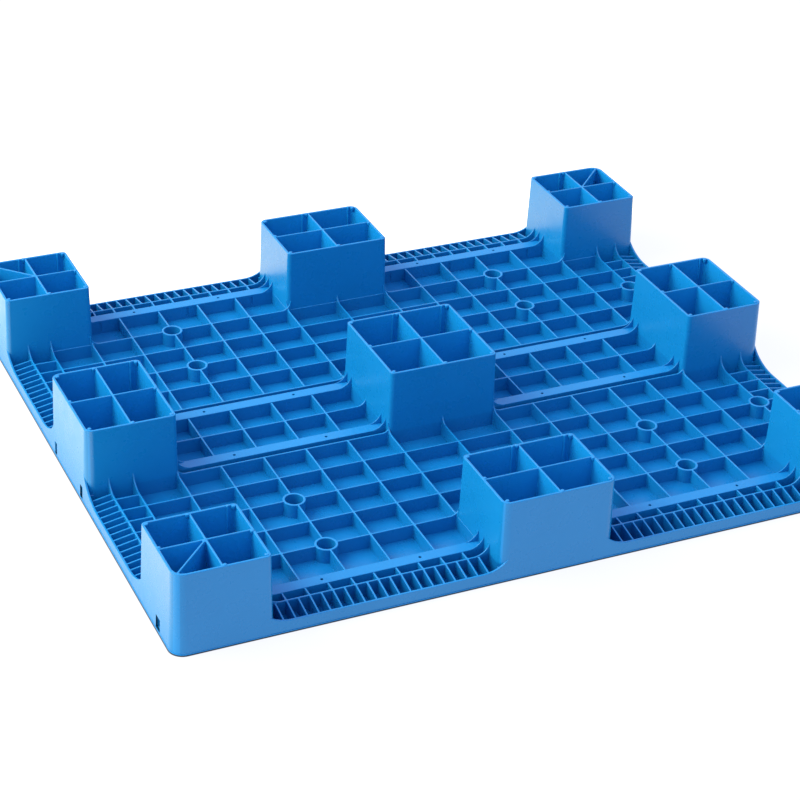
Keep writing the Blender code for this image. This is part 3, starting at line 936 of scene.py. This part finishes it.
FRONT = Edge(
    axis="X", half=HALF_Y, rail=FRONT_RAIL, end=HALF_Y - OUTER_Y - HALF_CHANNEL, first=FIRST_X,
    pitch=PITCH_X / 4, count=20, start=MIDDLE_X, stop=CORNER_X, sweep=FRONT_SWEEP,
)
FLANK = Edge(
    axis="Y", half=HALF_X, rail=SIDE_RAIL, end=HALF_X - GRID_X[-1], first=FIRST_Y,
    pitch=PITCH_Y / 4, count=16, start=MIDDLE_Y, stop=CORNER_Y, sweep=SIDE_SWEEP,
)


def rung_height(edge, depth):
    """The rungs' tops rise from just under the skirt's top to the rail's."""
    low = SKIRT_TOP - SUNK
    share = (depth - SKIRT) / (edge.rail - SKIRT - RIB / 2)
    return low + (RIB_TOP - low) * clamped(share)


def ladder_cells(edge, strip_end):
    """The cells between the skirt and the rail, then the longer ones between the rail and strip_end."""
    lines = [edge.first + edge.pitch * i for i in range(edge.count)]
    near, far = edge.start - WALL_HIDDEN, edge.stop + WALL_HIDDEN
    clear = 2 * RIB
    inside = [line for line in lines if near + clear < line < far - clear]
    strip = [line for line in lines[::2] if near + clear < line < far - clear]
    rail_low, rail_high = edge.rail - RIB / 2, edge.rail + RIB / 2
    cells = [(a, SKIRT - SUNK, b, rail_low) for a, b in spans(inside, near, far)]
    return cells + [(a, rail_high, b, strip_end) for a, b in spans(strip, near, far)]


def slope_rungs(bm, edge):
    """Lowers the top of a ladder towards the skirt."""
    across = edge.across()
    for vertex in bm.verts:
        share = (vertex.co.z - DECK_TOP) / (RIB_TOP - DECK_TOP)
        top = rung_height(edge, edge.half - abs(vertex.co[across]))
        if share > 0.5:
            vertex.co.z = top - (RIB_TOP - vertex.co.z)


def add_ladder(bm, edge, side, half_side):
    """The rungs, the rail and the strip of longer cells behind it, made at one side and mirrored."""
    if edge.axis == "X":
        strip_end = edge.end + HIDDEN / 4
        outline_end = edge.end + HIDDEN
        bosses = []
    else:
        strip_end = edge.end - RIB / 2
        outline_end = edge.end
        bosses = [(GRID_Y[2], edge.end)]
    cells = [ladder_cell(cell, bosses) for cell in ladder_cells(edge, strip_end)]
    holes = [edge.plan(cell, -1, half_side) for cell in cells]
    outline = ladder_outline(edge, outline_end, bosses)
    add_plate(bm, edge.plan(outline, -1, half_side), holes, FLUSH_LEVELS, RIB_LEVELS)
    slope_rungs(bm, edge)
    for along, way in ((edge.start, 1), (edge.stop, -1)):
        x, y = edge.place(along, edge.rail, -1, half_side)
        out = (half_side * way, 0) if edge.axis == "X" else (0, half_side * way)
        add_sweep(bm, x, y, out, RIB_TOP, RAIL_SWEEP)
    for vertex in bm.verts:
        vertex.co[edge.across()] *= -side


def ladder_cell(cell, bosses):
    """A ladder cell, cut back where a side boss stands in it."""
    a0, _, a1, d1 = cell
    for along, depth in bosses:
        if a0 - BOSS < along < a1 + BOSS and abs(d1 - depth) < BOSS:
            return cell_round_boss(cell, along, depth)
    return bitten(cell, [])


def half_round(along, depth, radius):
    """The half circle round a side boss that faces the skirt."""
    angles = [math.pi * i / ARC_STEPS for i in range(ARC_STEPS + 1)]
    return [(along + radius * math.cos(angle), depth - radius * math.sin(angle)) for angle in angles]


def cell_round_boss(cell, along, depth):
    """A cell whose far side is cut back by a boss centred beyond it."""
    a0, d0, a1, d1 = cell
    inside = [(a, d) for a, d in half_round(along, depth, BOSS) if a0 < a < a1 and d < d1]
    if not inside:
        return bitten(cell, [])
    points = [(a0, d0), (a1, d0)]
    aside = math.sqrt(BOSS ** 2 - (depth - d1) ** 2)

    def reach(a):
        return depth - math.sqrt(max(BOSS ** 2 - (a - along) ** 2, 0))

    if reach(a1) < d1 and abs(a1 - along) < BOSS:
        points.append((a1, reach(a1)))
    else:
        points += [(a1, d1), (along + aside, d1)]
    points += inside
    if reach(a0) < d1 and abs(a0 - along) < BOSS:
        points.append((a0, reach(a0)))
    else:
        points += [(along - aside, d1), (a0, d1)]
    return points


def ladder_outline(edge, outline_end, bosses):
    """The ladder's own outline, from inside the skirt to the field or the channel."""
    near, far = edge.start - WALL_DEEP, edge.stop + WALL_DEEP
    points = [(near, SKIRT / 2), (far, SKIRT / 2), (far, outline_end)]
    for along, depth in bosses:
        points += half_round(along, depth, BULGE)
    points.append((near, outline_end))
    return points


def skirt_outline(edge):
    """The skirt from outside: a low wall whose top sweeps up into the feet at both ends."""
    length, rise = edge.sweep
    length += SIDE_CORNER[0]
    begin, finish = edge.start - SIDE_CORNER[0], edge.stop + SIDE_CORNER[0]
    hidden = 0.004
    points = [(begin - hidden, DECK_TOP - SUNK), (finish + hidden, DECK_TOP - SUNK)]
    points.append((finish + hidden, SKIRT_TOP + rise))
    angles = [math.pi / 2 * i / ARC_STEPS for i in range(ARC_STEPS + 1)]
    curve = [(length * (1 - math.cos(a)), SKIRT_TOP + rise * (1 - math.sin(a))) for a in angles]
    points += [(finish - along, height) for along, height in curve]
    points += [(begin + along, height) for along, height in reversed(curve)]
    points.append((begin - hidden, SKIRT_TOP + rise))
    return points


def add_skirt(bm, edge, side, half_side):
    """The skirt: upright, but leaning with the feet's outer faces where its ends fade into them."""
    before = set(bm.verts)
    rounding = EDGE_ROUND
    behind = LEDGE + BEHIND
    length = edge.sweep[0] + SIDE_CORNER[0]
    levels = [(0, -rounding), (0.3 * rounding, -0.3 * rounding), (rounding, 0)]
    levels += [(SKIRT - rounding, 0), (SKIRT - 0.3 * rounding, -0.3 * rounding), (SKIRT, -rounding)]
    add_plate(bm, skirt_outline(edge), [], levels, [])
    for vertex in [v for v in bm.verts if v not in before]:
        along, height, depth = vertex.co
        from_end = min(along - edge.start, edge.stop - along) + SIDE_CORNER[0]
        fade = clamped(1 - from_end / length)
        lean = (OUTER_DRAFT - LEDGE) * height / HEIGHT * fade
        x, y = edge.place(along, depth + lean + behind, side, half_side)
        vertex.co = (x, y, height)


def make_edge(edge, side, half_side, name):
    """One edge frame: its ladder and its skirt."""
    bm = bmesh.new()
    add_ladder(bm, edge, side, half_side)
    add_skirt(bm, edge, side, half_side)
    finish_mesh(name + "_ladder", bm, BLUE, BLUE_SLOT, name)


# ---------------------------------------------------------------- channels and tubes

def make_channel(name, y):
    """A closed channel with round upper edges, vents in its top and slits in its sides."""
    bm = bmesh.new()
    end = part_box(name)[1].x - 0.0024
    outline = box_outline(-end, y - HALF_CHANNEL, end, y + HALF_CHANNEL)
    levels = upright(DECK_TOP - CHANNEL_SUNK, CHANNEL_TOP, 0.0, EDGE_ROUND)
    add_plate(bm, outline, [], levels, [])
    obj = finish_mesh(name + "_body", bm, BLUE, BLUE_SLOT, name)
    bore = bmesh.new()
    add_block(bore, (-HALF_X, y - BORE_HALF, BORE_LOW), (HALF_X, y + BORE_HALF, BORE_HIGH))
    cut(obj, bore)
    cut(obj, channel_openings(y))
    add_to(obj, channel_ends(y))


def channel_openings(y):
    """The vents and the slits, as solids to cut away."""
    openings = bmesh.new()
    through = [(BORE_HIGH - 0.005, 0), (HEIGHT / 2, 0)]
    for side in (-1, 1):
        for x in VENTS_X:
            add_plate(openings, circle(side * x, y, VENT, 12), [], through, [])
    for side in (-1, 1):
        for x in SLITS_X:
            add_block(
                openings,
                (side * x - SLIT_WIDTH / 2, y - 2 * HALF_CHANNEL, SLIT_LOW),
                (side * x + SLIT_WIDTH / 2, y + 2 * HALF_CHANNEL, SLIT_HIGH),
            )
    return openings


def channel_ends(y):
    """Both walls of a channel, curving up into each foot that it meets."""
    ends = bmesh.new()
    wall = HALF_CHANNEL - BORE_HALF
    for side in (-1, 1):
        for x, way in ((MIDDLE_X, 1), (CORNER_X, -1)):
            for edge in (-1, 1):
                place = (side * x, y + edge * (HALF_CHANNEL - wall / 2 - HAIR))
                add_sweep(ends, *place, (side * way, 0), CHANNEL_TOP - HAIR / 2, RAIL_SWEEP, wall)
    return ends


def make_tube(name):
    """A square tube with round corners, inside and outside."""
    bm = bmesh.new()
    low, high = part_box(name)
    middle_y, middle_z = (low.y + high.y) / 2, (low.z + high.z) / 2
    half = (high.y - low.y) / 2
    inner = half - TUBE_WALL
    outside = filleted(box_outline(-half, -half, half, half), TUBE_ROUND[0], CORNER_STEPS - 1)
    inside = filleted(box_outline(-inner, -inner, inner, inner), TUBE_ROUND[1], CORNER_STEPS - 1)
    edge = 0.0002
    levels = [(low.x, -edge), (low.x + edge, 0), (high.x - edge, 0), (high.x, -edge)]
    add_plate(bm, outside, [inside], levels, levels)
    for vertex in bm.verts:
        y, z, x = vertex.co
        vertex.co = (x, middle_y + y, middle_z + z)
    finish_mesh(name + "_section", bm, STEEL, STEEL_SLOT, name)


# ---------------------------------------------------------------- stage

FLOOR_GLOW = 0.93
# FLOOR_BRIGHT and FLOOR_WARM: the brightness and warm tint of the floor's painted pools of light beside the
# left and rear sides
FLOOR_BRIGHT = 1.95
FLOOR_WHITE = (0.956, 0.964, 1.0)
FLOOR_WARM = (1.0, 0.86, 0.56)
# How far round the pallet the floor's painted contact shadow reaches
CONTACT = 0.0010
SKY = (0.52, 0.65, 1.0, 1)
LIGHT_COLOUR = (1.0, 1.0, 0.84)
LIGHT_PLACE = (-2.65, 1.0, 2.6)
LIGHT_SIZE = (3.0, 2.4)
LIGHT_POWER = 158
LENS = 99.8
CAMERA_PLACE = (-1.3774, -2.8490, 1.8829)
CAMERA_RIGHT = (0.91261, -0.40728, 0.03571)
CAMERA_UP = (0.17928, 0.47716, 0.86033)


def floor_band(tree, distance, edge):
    """A band of the floor that glows brighter beside one side of the pallet: a painted pool of light, as
    under a strip light.
    """
    rise = remap(tree, distance, edge, edge + 0.08, 0, 1, True)
    fall = remap(tree, distance, edge + 0.14, edge + 0.34, 1, 0, True)
    return maths(tree, "MULTIPLY", rise, fall)


def clear_of_pallet(tree, x, y):
    """0 under the pallet's rounded outline, and 1 from a millimetre outside it: the floor's glow is cut
    there, a painted contact shadow along the pallet's lower edge.
    """
    corner = PALLET_CORNER[0]
    squares = []
    for axis, half in ((x, HALF_X), (y, HALF_Y)):
        beyond = maths(tree, "SUBTRACT", maths(tree, "ABSOLUTE", axis, 0), half - corner)
        squares.append(maths(tree, "POWER", maths(tree, "MAXIMUM", beyond, 0), 2))
    outwards = maths(tree, "SQRT", maths(tree, "ADD", *squares), 0)
    return remap(tree, outwards, corner, corner + CONTACT, 0, 1)


def floor_material():
    """A pale floor that glows, most beside the left and rear sides in painted pools of light, and not under
    the pallet, which paints a contact shadow along its lower edge.
    """
    material, tree, shader = new_material("floor")
    shader.inputs["Base Color"].default_value = (0.12, 0.12, 0.12, 1)
    shader.inputs["Roughness"].default_value = 1.0
    shader.inputs["Specular IOR Level"].default_value = 0.0
    x, y, _ = axes_of(tree, node(tree, "ShaderNodeTexCoord").outputs["Object"])
    from_front = remap(tree, y, -HALF_Y - 0.1, -HALF_Y + 0.1, 0, 1, True)
    left = floor_band(tree, maths(tree, "MULTIPLY", x, -1), HALF_X)
    rear = floor_band(tree, y, HALF_Y)
    band = maths(tree, "MAXIMUM", maths(tree, "MULTIPLY", left, from_front), rear)
    bright = remap(tree, band, 0, 1, FLOOR_GLOW, FLOOR_BRIGHT)
    glow = maths(tree, "MULTIPLY", bright, clear_of_pallet(tree, x, y))
    tree.links.new(mix_colour(tree, band, FLOOR_WHITE, FLOOR_WARM), shader.inputs["Emission Color"])
    tree.links.new(glow, shader.inputs["Emission Strength"])
    return material


def make_floor():
    """A plane just under the load face."""
    mesh = bpy.data.meshes.new("floor")
    bm = bmesh.new()
    bmesh.ops.create_grid(bm, x_segments=1, y_segments=1, size=60)
    bm.to_mesh(mesh)
    bm.free()
    floor = bpy.data.objects.new("floor", mesh)
    floor.location.z = LOW.z - HAIR
    bpy.context.scene.collection.objects.link(floor)
    mesh.materials.append(floor_material())


def make_world():
    """A soft studio: bright overhead, with white walls at the left and low at the rear."""
    world = bpy.data.worlds.new("studio")
    bpy.context.scene.world = world
    world.use_nodes = True
    tree = world.node_tree
    x, y, z = axes_of(tree, node(tree, "ShaderNodeTexCoord").outputs["Generated"])
    overhead = remap(tree, z, 0.30, 0.95, 0.42, 1.42, True)
    front = remap(tree, y, -0.1, -0.9, 0.0, 0.35, True)
    sky = tree.nodes["Background"]
    sky.inputs["Color"].default_value = SKY
    tree.links.new(maths(tree, "ADD", overhead, front), sky.inputs["Strength"])
    leftwards = maths(tree, "ADD", maths(tree, "MULTIPLY", x, -0.93), maths(tree, "MULTIPLY", y, 0.37))
    left = remap(tree, leftwards, 0.2, 0.9, 0.0, 1.1, True)
    behind = remap(tree, y, 0.3, 0.75, 0.0, 0.5, True)
    rear = maths(tree, "MULTIPLY", behind, remap(tree, z, 0.68, 0.40, 0, 1, True))
    wall = node(tree, "ShaderNodeBackground")
    wall.inputs["Color"].default_value = (1.0, 1.0, 1.0, 1)
    tree.links.new(maths(tree, "ADD", left, rear), wall.inputs["Strength"])
    both = node(tree, "ShaderNodeAddShader")
    tree.links.new(sky.outputs[0], both.inputs[0])
    tree.links.new(wall.outputs[0], both.inputs[1])
    tree.links.new(both.outputs[0], tree.nodes["World Output"].inputs["Surface"])


def make_light():
    """A large soft light, high on the left, that isn't itself mirrored in the plastic."""
    light = bpy.data.lights.new("softbox_left", "AREA")
    light.shape = "RECTANGLE"
    light.size, light.size_y = LIGHT_SIZE
    light.energy = LIGHT_POWER
    light.color = LIGHT_COLOUR
    obj = bpy.data.objects.new("softbox_left", light)
    obj.location = LIGHT_PLACE
    obj.rotation_euler = (-Vector(LIGHT_PLACE)).to_track_quat("-Z", "Y").to_euler()
    obj.visible_glossy = False
    bpy.context.scene.collection.objects.link(obj)


def make_camera():
    """A long lens, placed by its right and up directions."""
    camera = bpy.data.cameras.new("camera")
    camera.lens = LENS
    camera.sensor_width = 36.0
    camera.clip_end = 200
    obj = bpy.data.objects.new("camera", camera)
    right, up = Vector(CAMERA_RIGHT), Vector(CAMERA_UP)
    turn = Matrix((right, up, right.cross(up))).transposed().to_4x4()
    obj.matrix_world = Matrix.Translation(CAMERA_PLACE) @ turn
    bpy.context.scene.collection.objects.link(obj)
    bpy.context.scene.camera = obj


def main():
    make_deck()
    for row in (-1, 0, 1):
        for column in (-1, 0, 1):
            make_foot(Foot(column, row))
    for side in (-1, 1):
        make_field(side)
        make_strip(side)
        for half_side in (-1, 1):
            make_edge(FRONT, side, half_side, f"edge_frame_{ROWS[side]}_{COLUMNS[half_side]}")
            make_edge(FLANK, side, half_side, f"edge_frame_{COLUMNS[side]}_{ROWS[half_side]}")
        for number, place in (("outer", OUTER_Y), ("inner", INNER_Y)):
            make_channel(f"tube_channel_{ROWS[side]}_{number}", side * place)
            make_tube(f"steel_tube_{ROWS[side]}_{number}")
    make_floor()
    make_world()
    make_light()
    make_camera()
    bpy.context.scene.view_settings.view_transform = "Standard"


main()
